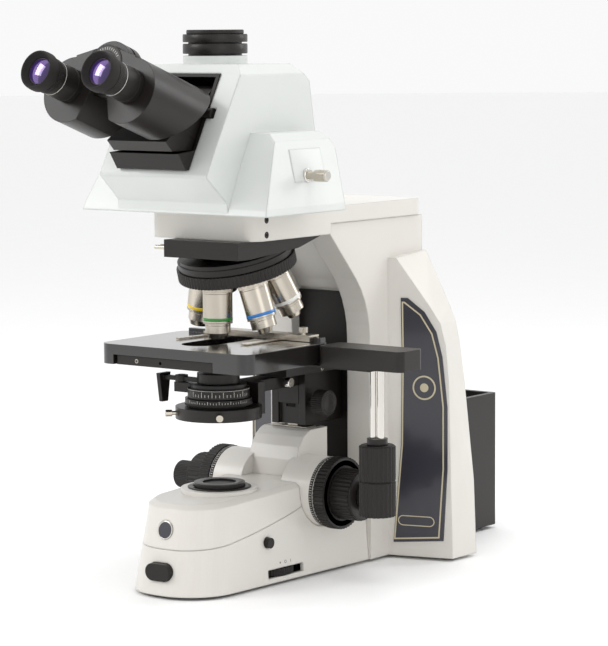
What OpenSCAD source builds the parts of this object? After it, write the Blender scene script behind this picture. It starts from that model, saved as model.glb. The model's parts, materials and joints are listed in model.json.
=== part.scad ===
// Upright trinocular research microscope.
// Millimetres, +Z up. Origin on the optical axis at table level.
// The user sits at -Y, and +X is the user's right hand.

/* [Base] */
// Half width of the rounded front of the base
base_front_half = 51; // [46:1:60]
// Half width of the base where it meets the arm
base_rear_half = 58; // [52:1:60]
// Corner radius of the rounded front
nose_r = 46; // [40:1:46]
// How far the base reaches in front of the optical axis
nose_reach = 91; // [84:1:100]
// Height of the front rim of the base cover
rim_h = 79; // [76:1:82]
// Slope of the base cover, rising to the rear (degrees)
rim_slope = 2.4; // [0:0.2:3]
// Wall of the base and cover castings
base_wall = 4; // [3:0.5:5]
// Height of the rubber feet
foot_h = 3; // [2:0.5:5]
// Radius of the rubber feet
foot_r = 9; // [7:0.5:12]
// Radius of the raised boss round the field lens
boss_r = 35.6; // [33:0.2:38]
// Radius of the fixed illuminator collar
collar_r = 22; // [18:0.5:24]
// Height of the boss top above the table
boss_top = 90; // [89:0.5:93]

/* [Arm] */
// Half width of the arm trunk
arm_half = 60; // [60:1:64]
// Front face of the arm trunk behind the optical axis
arm_front = 156; // [150:1:165]
// Rear face of the arm
arm_rear = 243; // [235:1:255]
// Height where the upper arm meets the arm casting
arm_seam = 331; // [329:1:335]
// Half width of the upper arm
upper_half = 62.5; // [60:0.5:66]
// Front face of the upper arm ahead of the axis
upper_front = 23; // [20:1:28]
// Underside of the upper arm
upper_bottom = 321; // [319:1:323]
// Top of the upper arm, where the head sits
upper_top = 347; // [345:1:350]
// Half width of the legs of the arm at the table
leg_half = 124; // [118:1:128]
// Half width of the recess in the front of the arm
recess_half = 33; // [28:1:36]
// Depth of the recess behind the front face
recess_depth = 14; // [10:1:20]

/* [Lamp house] */
// Half width of the lamp house
lamp_half = 58; // [50:1:60]
// Length of the lamp house behind the arm
lamp_len = 138; // [110:1:150]
// Height of the top of the lamp house
lamp_top = 140; // [120:1:160]
// Wall of the lamp house
lamp_wall = 3; // [2:0.5:4]

/* [Focus drive] */
// Distance of the focus axle behind the optical axis
axle_y = 93.2; // [90:0.2:96]
// Height of the focus axle
axle_z = 77.9; // [76:0.1:80]
// Half width of the focus column
column_half = 28.5; // [27:0.5:32]
// Height of the focus column
column_top = 133; // [130:1:136]
// Radius of the hubs either side of the column
hub_r = 33; // [30:0.5:34]
// Outer face of the hubs from the centre plane
hub_x = 62; // [60:0.5:66]
// Radius of the tension and stop rings
ring_r = 34; // [32:0.5:36]
// Radius of the coarse knobs
coarse_r = 24; // [20:0.5:28]
// Width of one coarse knob
coarse_w = 23; // [18:1:28]
// Radius of the fine knobs
fine_r = 13.5; // [11:0.5:16]
// Width of one fine knob
fine_w = 24; // [18:1:28]
// Outer radius of the hollow coarse shaft
shaft_r = 4.6; // [4.4:0.1:4.8]
// Radius of the fine spindle inside it
spindle_r = 2.6; // [2.2:0.1:2.8]
// Radial clearance of running shafts
run_gap = 0.05; // [0.03:0.01:0.08]
// Gear module of the focus pinion and rack
gear_m = 1; // [1:0.1:1]
// Teeth of the focus pinion
pinion_teeth = 12; // [12:1:12]

/* [Stage] */
// Top of the stage at rest
stage_top = 225.5; // [222:0.5:226]
// Left edge of the moving stage plate
stage_left = 84; // [78:1:92]
// Right edge of the moving stage plate
stage_right = 90; // [84:1:91]
// Front edge of the moving stage plate
stage_front = 71; // [66:1:78]
// Rear edge of the moving stage plate
stage_rear = 54; // [50:1:60]
// Thickness of the moving stage plate with its skirts
stage_t = 18.5; // [17:0.5:20]
// Radius of the stage drive knobs
xy_knob_r = 16.7; // [14:0.5:18]
// Place of the stage drive stem along X
stem_x = 150; // [145:1:155]
// Place of the stage drive stem along Y
stem_y = 42; // [38:1:46]

/* [Condenser] */
// Radius of the iris ring
iris_r = 31; // [29:0.5:33]
// Radius of the scale ring above it
scale_r = 28.6; // [27:0.2:29]
// Outer radius of the condenser holder
holder_r = 40; // [38:0.5:42]
// Inner radius of the condenser holder
holder_bore = 25; // [23:0.5:27]

/* [Nosepiece] */
// Tilt of the turret axis (degrees)
turret_tilt = 15.5; // [14:0.5:16]
// Radius of the knurled turret
turret_r = 55.7; // [53:0.5:58]
// Distance of each objective from the turret axis
port_rho = 31.6; // [31:0.1:33]
// Height of the seat of the objective in use
seat_z = 279; // [277:0.5:281]
// Radius of an objective barrel
objective_r = 13.7; // [12.5:0.1:14]
// Radius of the objective thread
thread_r = 10.16; // [10.16:0.01:10.16]

/* [Head] */
// Half width of the head at its base
head_half = 107; // [100:1:112]
// Half width of the tower of the head
tower_half = 62; // [58:1:66]
// Top of the tower
tower_top = 480; // [478:1:486]
// Half width of the opening for the eyepiece body
mouth_half = 40; // [38:0.5:42]
// Radius of the camera port rings
port_r = 29.3; // [27:0.2:31]
// Bore of the camera port
port_bore = 19; // [16:0.5:20]
// Slope of the eyepiece tubes at rest (degrees)
tube_tilt = 19.5; // [17:0.5:21]
// Half of the distance between the eyepieces at rest
eye_half = 34.7; // [33:0.1:35.5]
// Radius of the eyecups
eyecup_r = 18; // [16:0.5:19]
// Outer radius of the eyepiece barrel
eyepiece_r = 15.5; // [15:0.1:16]
// Radius of the eyepiece sleeve inside the tube
sleeve_r = 11.6; // [11:0.1:12]
// Radius of the outer shell of a prism arm
arm_shell_r = 30; // [28:0.5:31]

/* [Hidden] */
$fn = 72;

white = "#E6E4DF";
cool_white = "#E3E5E1";
black = "#2E2A27";
metal = "#B8B4AC";
panel_grey = "#3A3A42";

// Prism along X from an outline in Y and Z
module x_prism(x0, x1, outline) {
    translate([x0, 0, 0]) rotate([90, 0, 90]) linear_extrude(x1 - x0) polygon(outline);
}

// Prism along Y from an outline in X and Z
module y_prism(y0, y1, outline) {
    translate([0, y1, 0]) rotate([90, 0, 0]) linear_extrude(y1 - y0) polygon(outline);
}

// Cylinder along X
module x_cyl(x0, x1, r, y, z) {
    translate([x0, y, z]) rotate([0, 90, 0]) cylinder(r = r, h = x1 - x0);
}

// Cylinder along Y
module y_cyl(y0, y1, r, x, z) {
    translate([x, y1, z]) rotate([90, 0, 0]) cylinder(r = r, h = y1 - y0);
}

// Box from its lowest to its highest corner
module box(low, high) {
    translate(low) cube(high - low);
}

// Rectangle with round corners, from its lowest to its highest corner
module round_rect(low, high, r) {
    translate([low[0] + r, low[1]]) square([high[0] - low[0] - 2 * r, high[1] - low[1]]);
    translate([low[0], low[1] + r]) square([high[0] - low[0], high[1] - low[1] - 2 * r]);
    for (x = [low[0] + r, high[0] - r]) for (y = [low[1] + r, high[1] - r]) translate([x, y]) circle(r);
}

// Round box standing on z0
module round_box(low, high, r, z0, z1) {
    translate([0, 0, z0]) linear_extrude(z1 - z0) round_rect(low, high, r);
}

// Knob outline with flutes: tooth-like ribs round a circle
module fluted(r, depth, count) {
    polygon([for (i = [0 : count - 1]) for (k = [0 : 3])
        let (a = (i + [0, 0.12, 0.5, 0.62][k]) * 360 / count, q = k < 2 ? r - depth : r)
        [q * cos(a), q * sin(a)]]);
}

module mirror_pair() {
    children();
    mirror([1, 0, 0]) children();
}

// ---- Base ----
base_z0 = foot_h;
base_rear = arm_front;
nose_y = nose_r - nose_reach;
rim_inset = 7;
crown_inset = 13;
crown_h = 4;
nose_rake = 10;

// Outline of the base seen from above, drawn in by an inset
module base_slab(inset, rake) linear_extrude(0.1) {
    front = base_front_half - inset;
    rear = base_rear_half - inset;
    for (s = [-1, 1]) translate([s * (base_front_half - nose_r), nose_y + rake]) circle(nose_r - inset, $fn = 48);
    polygon([[-front, nose_y + rake], [front, nose_y + rake], [rear, base_rear], [-rear, base_rear]]);
}

// Slab on the sloping plane of the rim, raised by h
module rim_slab(inset, h) {
    translate([0, 0, rim_h + nose_reach * sin(rim_slope) + h]) rotate([rim_slope, 0, 0]) base_slab(inset, nose_rake);
}

module base_form(inset) {
    hull() {
        translate([0, 0, base_z0]) base_slab(inset, 0);
        rim_slab(rim_inset + inset, -inset);
        rim_slab(crown_inset + inset, crown_h - inset);
    }
}

// Height of the seam between the base casting and its cover
function seam_z(y) = 44 + 0.07 * (y + 80) + 0.00067 * pow(y + 80, 2);
seam_outline = [for (y = [-110 : 12 : 130]) [y, seam_z(y)]];

module below_seam(drop) {
    x_prism(-90, 90, concat([[-110, -5]], [for (p = seam_outline) [p[0], p[1] - drop]],
        [[170, seam_z(130) + 30], [170, -5]]));
}

// Space taken by the focus column and its hubs inside the base
module column_bay() {
    box([-column_half - 0.2, column_front - 0.2, base_z0 + 8], [column_half + 0.2, column_rear + 0.2, 200]);
    mirror_pair() x_cyl(column_half - 5, hub_x + 30, hub_r + 0.3, axle_y, axle_z);
}

dimmer_y = 31.5;
dimmer_z = 11.7;
dimmer_r = 27;
button_y = 8;
button_z = 41.4;
front_button_z = 24;

module base_openings() {
    // slot of the dimmer wheel
    box([36, 6, dimmer_z - 4], [70, 57, dimmer_z + 4]);
    // round side button
    x_cyl(40, 70, 5.3, button_y, button_z);
    // oval front button
    y_prism(-120, -60, [for (a = [0 : 15 : 345])
        [(a <= 90 || a > 270 ? 6 : -6) + 8.3 * cos(a), front_button_z + 8.3 * sin(a)]]);
}

module base_casting() color(white) difference() {
    intersection() {
        base_form(0);
        below_seam(0.15);
    }
    difference() {
        base_form(base_wall);
        // solid rear that joins the arm
        box([-80, column_rear + 1, 0], [80, 200, 200]);
    }
    translate([0, 0, -1]) linear_extrude(base_z0 + 1.1 + base_wall) base_outline(base_wall);
    column_bay();
    base_openings();
}

// Plain base outline with exact arcs
module base_outline(inset) {
    for (s = [-1, 1]) translate([s * (base_front_half - nose_r), nose_y]) circle(nose_r - inset);
    polygon([[-base_front_half + inset, nose_y], [base_front_half - inset, nose_y],
        [base_rear_half - inset - 3, column_rear], [-base_rear_half + inset + 3, column_rear]]);
}

module base_cover() color(white) difference() {
    union() {
        difference() {
            base_form(0);
            below_seam(-0.15);
            base_form(base_wall);
            box([-80, axle_y, 0], [80, 200, 200]);
        }
        translate([0, 0, 70]) cylinder(r = boss_r, h = boss_top - 70);
        // screw posts down to the base plate
        intersection() {
            for (p = [[-30, -46], [30, -46], [-38, 36]]) translate([p[0], p[1], plate_top]) cylinder(r = 5, h = 80);
            base_form(1);
        }
    }
    nose_badge();
    translate([0, 0, 60]) cylinder(r = collar_r + 0.1, h = 60);
    translate([0, 0, 60]) cylinder(r = boss_r - 5, h = 20);
    column_bay();
}

plate_top = base_z0 + 3.5;

module base_plate() color(black) difference() {
    union() {
        translate([0, 0, base_z0]) linear_extrude(plate_top - base_z0) base_outline(base_wall);
        // axle of the dimmer wheel
        translate([dimmer_axis_x, dimmer_y, base_z0 + 1]) cylinder(r = 3, h = 13);
    }
    // clearance holes for the feet screws
    for (p = foot_places) if (p[1] < 100) translate([p[0], p[1], 0]) cylinder(r = 2.1, h = 20);
}

foot_places = [[-36, -44], [36, -44], [-108, 218], [108, 218]];

module rubber_feet() color(black) for (p = foot_places) translate(p) {
    cylinder(r1 = foot_r - 1, r2 = foot_r, h = foot_h);
    if (p[1] < 100) translate([0, 0, foot_h - 0.5]) cylinder(r = 2.1, h = 4);
}

module illuminator_collar() color(black) difference() {
    union() {
        translate([0, 0, boss_top - 12]) cylinder(r = collar_r, h = 12.5);
        translate([0, 0, boss_top]) cylinder(r = 23.7, h = 0.5);
    }
    translate([0, 0, boss_top - 10]) cylinder(r = collar_r - 4, h = 40);
    translate([0, 0, boss_top - 20]) cylinder(r = collar_r - 6.5, h = 40);
}

lens_dome_r = 38;

module field_lens() color("#9FB4C8", 0.6) translate([0, 0, boss_top - 10]) {
    cylinder(r = collar_r - 4, h = 4);
    intersection() {
        cylinder(r = collar_r - 6, h = 9);
        translate([0, 0, 7.5 - lens_dome_r]) sphere(lens_dome_r);
    }
}

// Rotating collar of the field diaphragm
module field_ring() color(black) difference() {
    union() {
        translate([0, 0, boss_top + 0.8]) cylinder(r = 23.7, h = 4.2);
        translate([0, 0, boss_top - 5]) cylinder(r = collar_r - 4 - run_gap, h = 9);
    }
    translate([0, 0, boss_top - 15]) cylinder(r = collar_r - 6.5, h = 40);
}

module relay_mirror() color(metal) {
    x_prism(-17, 17, [[-16, 60], [16, 28], [14, 26], [-18, 58]]);
    x_prism(-3, 3, [[-14, 54], [10, 30], [10, plate_top], [-14, plate_top]]);
}

module dimmer_wheel() color(black) translate([dimmer_axis_x, dimmer_y, dimmer_z - 3.2]) difference() {
    linear_extrude(6.4) fluted(dimmer_r, 0.7, 60);
    translate([0, 0, -1]) cylinder(r = 3 + run_gap, h = 20);
}
dimmer_axis_x = 54.6 - dimmer_r;

module front_button() color(black) {
    y_prism(-91, -78.5, [for (a = [0 : 15 : 345])
        [(a <= 90 || a > 270 ? 6 : -6) + 7.9 * cos(a), front_button_z + 7.9 * sin(a)]]);
}

module side_button() color(black) x_cyl(46, 54, 4.9, button_y, button_z);

// ---- Focus column and drive ----
column_front = axle_y - 14.2;
column_rear = axle_y + 35.8;
cavity_half = 20.8;
pinion_w = 14;
pitch_r = gear_m * pinion_teeth / 2;
rack_y = axle_y + pitch_r;
block_front = 106;
block_rear = 163;
block_half = 20;

module focus_column() color(white) difference() {
    union() {
        x_prism(-column_half, column_half, [[column_front, plate_top], [column_front, 92],
            [axle_y - 12.5, 106], [axle_y - 8, 118], [axle_y - 1, 127], [axle_y + 6, 131.5],
            [axle_y + 11, column_top], [column_rear, column_top], [column_rear, plate_top]]);
        mirror_pair() x_cyl(column_half - 5, hub_x, hub_r, axle_y, axle_z);
    }
    // well of the pinion and the rack, then the well of the focusing block
    box([-cavity_half, axle_y - 8.5, 18], [cavity_half, 160, 100]);
    box([-cavity_half, rack_y - 1.3, 18], [cavity_half, 160, 114]);
    box([-cavity_half, block_front - 0.6, 100], [cavity_half, 160, 200]);
    // bearing bores of the coarse shaft
    x_cyl(-80, 80, shaft_r + run_gap, axle_y, axle_z);
    mirror_pair() x_cyl(hub_x - 3, hub_x + 5, 26, axle_y, axle_z);
}

tooth_profile = [[pitch_r - 1.1, 0.8], [pitch_r, 0.62], [pitch_r + 0.8, 0.3]];

// Pinion outline: one tooth along +X and the others evenly round it
module pinion_outline() {
    circle(pitch_r - 1.1);
    for (i = [0 : pinion_teeth - 1]) rotate(i * 360 / pinion_teeth) polygon(concat([[0, 0.8]], tooth_profile,
        [for (k = [2 : -1 : 0]) [tooth_profile[k][0], -tooth_profile[k][1]]], [[0, -0.8]]));
}

// Gaps of a rack: x0 and x1 bound it, side is +1 when the teeth face -Y
module rack_gaps(x0, x1, y, z, first, last, side) for (i = [first : last])
    translate([0, y, z + i * PI * gear_m]) x_prism(x0, x1,
        [[-side * 2, 1.55], [side * 1.2, 0.62], [side * 1.2, -0.62], [-side * 2, -1.55]]);

knob_inner = hub_x + 1;
ring_w = 11.5;
coarse_inner = knob_inner + ring_w + 0.5;
coarse_outer = coarse_inner + coarse_w;
fine_outer = coarse_outer + 0.6 + fine_w;

// Hollow coarse shaft with the pinion cut on it
module coarse_shaft() color(metal) difference() {
    union() {
        x_cyl(-coarse_outer + 4, coarse_outer - 4, shaft_r, axle_y, axle_z);
        translate([-pinion_w / 2, axle_y, axle_z]) rotate([90, 0, 90]) linear_extrude(pinion_w) pinion_outline();
    }
    x_cyl(-120, 120, spindle_r + run_gap, axle_y, axle_z);
}

module coarse_knobs() color(black) mirror_pair() difference() {
    union() {
        translate([coarse_inner, axle_y, axle_z]) rotate([90, 0, 90]) linear_extrude(coarse_w - 2) fluted(coarse_r, 0.8, 36);
        x_cyl(coarse_inner, coarse_outer, coarse_r - 1.5, axle_y, axle_z);
    }
    x_cyl(coarse_inner - 1, coarse_outer - 4, shaft_r, axle_y, axle_z);
    x_cyl(coarse_outer - 5, coarse_outer + 5, spindle_r + run_gap, axle_y, axle_z);
}

module fine_spindle() color(black) {
    x_cyl(-fine_outer + 2, fine_outer - 2, spindle_r, axle_y, axle_z);
    mirror_pair() translate([coarse_outer + 0.6, axle_y, axle_z]) rotate([90, 0, 90]) linear_extrude(fine_w) fluted(fine_r, 0.5, 48);
}

module side_ring(side) {
    translate([side > 0 ? knob_inner : -knob_inner - ring_w, axle_y, axle_z]) rotate([90, 0, 90]) difference() {
        linear_extrude(ring_w) fluted(ring_r, 0.9, 54);
        translate([0, 0, -1]) cylinder(r = shaft_r + 0.1, h = ring_w + 2);
    }
}

module tension_ring() color(black) side_ring(1);
module stop_ring() color(black) side_ring(-1);

post_z0 = 45;
post_top = column_top + 1;
tenon_half = 6;
tenon_y = [112, 118];
tenon_h = 12;

// Slide of the coarse drive, with the rack on its front
module focus_post() color(metal) {
    difference() {
        box([-8, rack_y - 0.8, post_z0], [8, 118, 112]);
        rack_gaps(-9, 9, rack_y, axle_z, -9, 10, 1);
    }
    box([-cavity_half + 0.4, rack_y + 2, post_z0], [cavity_half - 0.4, 122, 112]);
    box([-cavity_half + 0.4, block_front + 1, 110], [cavity_half - 0.4, 122, post_top]);
    box([-tenon_half, tenon_y[0], post_top - 1], [tenon_half, tenon_y[1], post_top + tenon_h]);
}

block_bottom = post_top + 2;
stage_bottom = stage_top - stage_t;
lower_top = stage_top - 9.4;

slide_y = [block_front - 0.2, block_front + 3.2];
slide_z = [block_bottom + 20, 186];
slide_half = 12;
condenser_rack_y = slide_y[1] - 0.8;
condenser_knob_y = condenser_rack_y + pitch_r;
condenser_knob_z = 158;

module focusing_block() color(black) difference() {
    union() {
        box([-block_half, block_front, block_bottom], [block_half, block_rear, 187]);
        box([-30, 64, 187], [30, block_rear, stage_bottom - 6]);
        box([-44, 50, stage_bottom - 6], [44, block_rear - 14, stage_bottom]);
    }
    // pocket for the tenon of the focus post
    box([-tenon_half - 0.3, tenon_y[0] - 0.3, block_bottom - 1], [tenon_half + 0.3, tenon_y[1] + 0.3, post_top + tenon_h + 3]);
    // slot of the condenser slide and pocket of its pinion
    box([-slide_half - 0.4, block_front - 1, block_bottom - 1], [slide_half + 0.4, slide_y[1] + 0.4, 187.5]);
    x_cyl(-5.6, 5.6, pitch_r + 1.3, condenser_knob_y, condenser_knob_z);
    x_cyl(-12, 40, 4 + run_gap, condenser_knob_y, condenser_knob_z);
}

// ---- Stage ----
notch_left = 66;
notch_right = 51;

module stage_lower_plate() color(black) difference() {
    union() {
        round_box([-notch_left + 0.6, -stage_front + 2.4], [notch_right - 0.6, stage_rear - 4], 3, stage_bottom, lower_top - 0.4);
    }
    translate([0, 0, 150]) cylinder(r = 24, h = 100);
    // hole of the front screw
    y_cyl(-stage_front - 5, -stage_front + 8, 1.5, -12, stage_bottom + 4);
}

module stage_top_plate() color(black) difference() {
    union() {
        round_box([-stage_left, -stage_front], [stage_right, stage_rear], 12, stage_bottom, stage_top);
        // rail that guides the specimen holder
        box([-72, stage_rear - 9, stage_top - 1], [stage_right - 6, stage_rear - 1, stage_top + rail_h]);
    }
    // channel that rides on the lower plate
    box([-notch_left, -stage_front - 1, stage_bottom - 1], [notch_right, stage_rear + 40, lower_top]);
    // long opening over the condenser
    translate([0, 0, lower_top - 1]) linear_extrude(30) {
        translate([-17, -26]) square([34, 52]);
        for (s = [-1, 1]) translate([0, s * 26]) circle(17);
    }
}

rail_h = 4;
box_left = stage_right + 4;
box_right = 187;
box_front = 27;
box_rear = 62;
bracket_z = stage_bottom - 2.6;
collar_z0 = 137.5;
collar_h = 5.5;
rod_pitch = 7.6;
xy_knob_h = 32.2;

// Drive box beside the stage, its bracket, and the two tubes down to the knobs
module xy_gearbox() color(black) difference() {
    union() {
        round_box([box_left, box_front], [box_right, box_rear], 6, stage_bottom - 0.6, stage_top - 0.5);
        box([-40, 30, bracket_z], [box_left + 56, 48, stage_bottom - 0.6]);
        box([-40, 30, stage_bottom - 1], [44, 48, stage_bottom]);
        for (s = [-1, 1]) translate([stem_x + s * rod_pitch / 2, stem_y, collar_z0 + 1])
            cylinder(r = 3, h = stage_bottom - collar_z0);
        translate([stem_x, stem_y, collar_z0]) cylinder(r = 9.5, h = collar_h);
    }
    translate([stem_x, stem_y, collar_z0 - 1]) cylinder(r = 3.4 + run_gap, h = collar_h);
}

// Knob hanging below z_top on a spindle of its own
module stem_knob(z_top, spindle, bore, z_spindle) difference() {
    translate([stem_x, stem_y, 0]) {
        translate([0, 0, z_top - xy_knob_h]) linear_extrude(xy_knob_h - 1) fluted(xy_knob_r, 0.8, 24);
        translate([0, 0, z_top - xy_knob_h]) cylinder(r = xy_knob_r - 1.6, h = xy_knob_h);
        translate([0, 0, z_top - 1]) cylinder(r = spindle, h = z_spindle - z_top + 1);
    }
    if (bore > 0) translate([stem_x, stem_y, 0]) cylinder(r = bore, h = 300);
}

module y_knob() color(black) stem_knob(collar_z0 - 0.4, 3.4, 2 + run_gap, collar_z0 + 4);
module x_knob() color(black) stem_knob(collar_z0 - xy_knob_h - 0.8, 2, 0, collar_z0 + 4);

holder_z = stage_top + 0.4;
finger_t = 1.2;

finger_x = -34;
finger_y = stage_rear - 20;

module specimen_holder() color(metal) {
    // carriage astride the rail
    box([-46, stage_rear - 15, holder_z + rail_h], [76, stage_rear - 0.6, holder_z + rail_h + 1.8]);
    box([-46, stage_rear - 15, holder_z], [76, stage_rear - 9.4, holder_z + rail_h + 0.5]);
    // fixed jaw on the right
    box([36, -12, holder_z], [44, stage_rear - 10, holder_z + finger_t]);
    // lug and pin of the finger
    box([finger_x - 6, finger_y - 6, holder_z + finger_t + 0.4], [finger_x + 6, stage_rear - 10, holder_z + 4]);
    translate([finger_x, finger_y, holder_z]) cylinder(r = 2, h = 3);
    // thumbscrew
    translate([67, stage_rear - 12.2, holder_z + rail_h + 1]) {
        cylinder(r = 2, h = 3);
        translate([0, 0, 3]) linear_extrude(5) fluted(4.2, 0.4, 24);
    }
}

// Sprung finger that holds the slide
module clip_finger() color(metal) translate([finger_x, finger_y, holder_z]) difference() {
    union() {
        cylinder(r = 4.5, h = finger_t);
        rotate(-8) translate([-2.5, -44, 0]) cube([5, 44, finger_t]);
    }
    translate([0, 0, -1]) cylinder(r = 2 + run_gap, h = 5);
}

// ---- Condenser ----
holder_z0 = 155;
holder_z1 = 166;

neck_z0 = 174;
neck_z1 = 185;

module condenser_holder() color(black) difference() {
    union() {
        translate([0, 0, holder_z0]) cylinder(r = holder_r, h = holder_z1 - holder_z0);
        // goose-neck to the slide on the focusing block
        box([-20, 34, holder_z0], [20, 44, neck_z1]);
        box([-slide_half, 40, neck_z0], [slide_half, slide_y[0] + 1, neck_z1]);
        box([-slide_half, slide_y[0], slide_z[0]], [slide_half, slide_y[1], slide_z[1]]);
    }
    rack_gaps(-6, 6, condenser_rack_y, condenser_knob_z, -3, 8, -1);
    translate([0, 0, holder_z0 - 1]) cylinder(r = holder_bore, h = 15);
    for (s = [-1, 1]) rotate(s * 40) y_cyl(-holder_r - 5, -holder_bore + 1, 2, 0, holder_z0 + 5.5);
}

module centring_screws() color(metal) for (s = [-1, 1]) rotate(s * 40) {
    y_cyl(-holder_r - 6, -holder_bore - 0.5, 2, 0, holder_z0 + 5.5);
    y_cyl(-holder_r - 10, -holder_r - 4, 3.2, 0, holder_z0 + 5.5);
}

condenser_top = 187;
swing_at = [-34, -12];

module condenser_body() color(black) difference() {
    union() {
        translate([0, 0, holder_z0 + 2]) cylinder(r = holder_bore - 0.05, h = holder_z1 - holder_z0 - 2);
        translate([0, 0, holder_z1]) cylinder(r = scale_r - 1, h = 1.2);
        translate([0, 0, holder_z1]) cylinder(r = 22, h = 10);
        translate([0, 0, 174.3]) cylinder(r = scale_r, h = 9);
        translate([0, 0, 183]) cylinder(r = 26, h = condenser_top - 183);
        // lug and pin of the swing-out lens
        box([swing_at[0] - 5, swing_at[1] - 5, 178], [-20, swing_at[1] + 5, condenser_top]);
        translate([swing_at[0], swing_at[1], 180]) cylinder(r = 3, h = 14);
    }
    translate([0, 0, holder_z0]) cylinder(r = 15, h = 60);
}

module iris_ring() color(black) difference() {
    translate([0, 0, holder_z1 + 1.6]) cylinder(r = iris_r, h = 6.2);
    translate([0, 0, holder_z1]) cylinder(r = 22 + run_gap, h = 10);
}

// Top lens on an arm that swings it out of the light path; the T-shaped lever hangs at the left
module swing_lens() color(black) difference() {
    union() {
        translate([0, 0, condenser_top + 0.5]) cylinder(r = 19.8, h = 9);
        translate([0, 0, condenser_top + 9]) cylinder(r = 15, h = 5);
        translate([swing_at[0], swing_at[1], condenser_top + 0.5]) cylinder(r = 6, h = 6);
        box([-56, swing_at[1] - 2.5, condenser_top + 1], [-12, swing_at[1] + 2.5, condenser_top + 5]);
        x_prism(-58, -54, [[-20, 194], [-4, 194], [-6, 180], [-8, 167], [-16, 167], [-18, 180]]);
    }
    translate([0, 0, 180]) cylinder(r = 11, h = 30);
    translate([swing_at[0], swing_at[1], 150]) cylinder(r = 3 + run_gap, h = 100);
}

module condenser_knob() color(black) {
    x_cyl(-11, column_half + 2, 4, condenser_knob_y, condenser_knob_z);
    translate([-5, condenser_knob_y, condenser_knob_z]) rotate([90, 0, 90]) linear_extrude(10) pinion_outline();
    translate([column_half + 0.8, condenser_knob_y, condenser_knob_z]) rotate([90, 0, 90])
        linear_extrude(12.5) fluted(12.5, 0.5, 40);
}

// ---- Nosepiece ----
turret_centre = [0, port_rho * cos(turret_tilt), seat_z + port_rho * sin(turret_tilt)];

// Frame with +Z along the turret axis, pointing up, and its origin in the turret
module turret_frame() {
    translate(turret_centre) rotate([turret_tilt, 0, 0]) children();
}

rim_low = 2;
rim_high = 13;

module turret() color(black) difference() {
    turret_frame() difference() {
        union() {
            // shallow cone, square to each port where the objective seats
            rotate_extrude() polygon([[0, (8 - port_rho) * tan(turret_tilt)], [8, (8 - port_rho) * tan(turret_tilt)],
                [49, (49 - port_rho) * tan(turret_tilt)], [49, 12], [0, 12]]);
            translate([0, 0, rim_low]) linear_extrude(rim_high - rim_low) difference() {
                fluted(turret_r, 0.9, 90);
                circle(48);
            }
        }
        translate([0, 0, -20]) cylinder(r = 6 + run_gap, h = 60);
    }
    for (k = [0 : 5]) port_frame(k) {
        translate([0, 0, -5]) cylinder(r = thread_r, h = 14.1);
        translate([0, 0, 9]) cylinder(r = thread_r + 1.5, h = 20);
    }
}

// Frame of one objective: +Z up along its axis, origin on its seat
module port_frame(k) {
    turret_frame() rotate(k * 60) translate([0, -port_rho, 0]) rotate([-turret_tilt, 0, 0]) children();
}

module objective(k, length, tip_r) port_frame(k) difference() {
    union() {
        translate([0, 0, -0.1]) cylinder(r = thread_r, h = 4.1);
        translate([0, 0, -length + 14]) cylinder(r = objective_r, h = length - 14.1);
        translate([0, 0, -length + 5]) cylinder(r = objective_r - 2, h = 9.1);
        translate([0, 0, -length]) cylinder(r1 = tip_r, r2 = tip_r + 1.5, h = 5.1);
    }
    translate([0, 0, -length - 1]) cylinder(r = tip_r - 3, h = 2);
}

module objective_green() color(metal) objective(0, 50.5, 8.5);
module objective_yellow() color(metal) objective(5, 46.5, 10);
module objective_blue() color(metal) objective(1, 51, 6);
module objective_white() color(metal) objective(2, 51, 6);
module objective_red() color(black) objective(4, 26, 10);

module nosepiece_holder() color(black) difference() {
    union() {
        intersection() {
            box([-30, -40, 290], [56, 90, upper_bottom]);
            union() {
                turret_frame() translate([0, 0, rim_high + 0.5]) cylinder(r = turret_r - 3, h = 10);
                x_prism(-30, 56, [[-40, upper_bottom], [-40, 305], [-22, 305], [50, 311], [84, 320], [88, upper_bottom]]);
            }
        }
        turret_frame() translate([0, 0, rim_high + 0.5]) cylinder(r = turret_r - 2, h = 6);
        turret_frame() translate([0, 0, -4]) cylinder(r = 6, h = 22);
    }
    translate([0, 0, 280]) cylinder(r = 13, h = 60);
    // slot of the analyser slider
    box([-60, -36.4, 307.6], [50, -21.6, 318.4]);
    // flat top under the upper arm
    box([-100, -60, upper_bottom], [100, 200, 400]);
}

module nosepiece_slider() color(metal) {
    box([-31, -36, 308], [40, -22, 318]);
    for (y = [-33, -25]) x_cyl(-46, -30, 2, y, 313);
}

// ---- Arm ----
leg_front = 203.5;
leg_turn = 15.5;

module leg_outline_front(hull_part) {
    k = leg_half / 124;
    polygon(hull_part == 0
        ? [[50, base_z0], [123 * k, base_z0], [121 * k, 88], [119 * k, 177], [116 * k, 210], [110.8 * k, 230], [99.6 * k, 247], [50, 247]]
        : [[50, 240], [104 * k, 240], [99.6 * k, 247], [84, 262], [66, 292], [50, 292]]);
}

module leg_outline_rear(hull_part) {
    k = leg_half / 124;
    polygon(hull_part == 0
        ? [[50, base_z0], [124 * k, base_z0], [121 * k, 75], [115 * k, 125], [110 * k, 172], [104 * k, 211], [100 * k, 228], [93 * k, 244], [50, 244]]
        : [[50, 238], [95 * k, 240], [82, 262], [65, 296], [50, 296]]);
}

module leg() for (part = [0, 1]) hull() {
    translate([0, leg_front, 0]) translate([leg_half, 0, 0]) rotate([0, 0, leg_turn]) translate([-leg_half, 0, 0])
        rotate([90, 0, 0]) linear_extrude(0.1) leg_outline_front(part);
    translate([0, arm_rear, 0]) rotate([90, 0, 0]) linear_extrude(0.1) leg_outline_rear(part);
}

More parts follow.
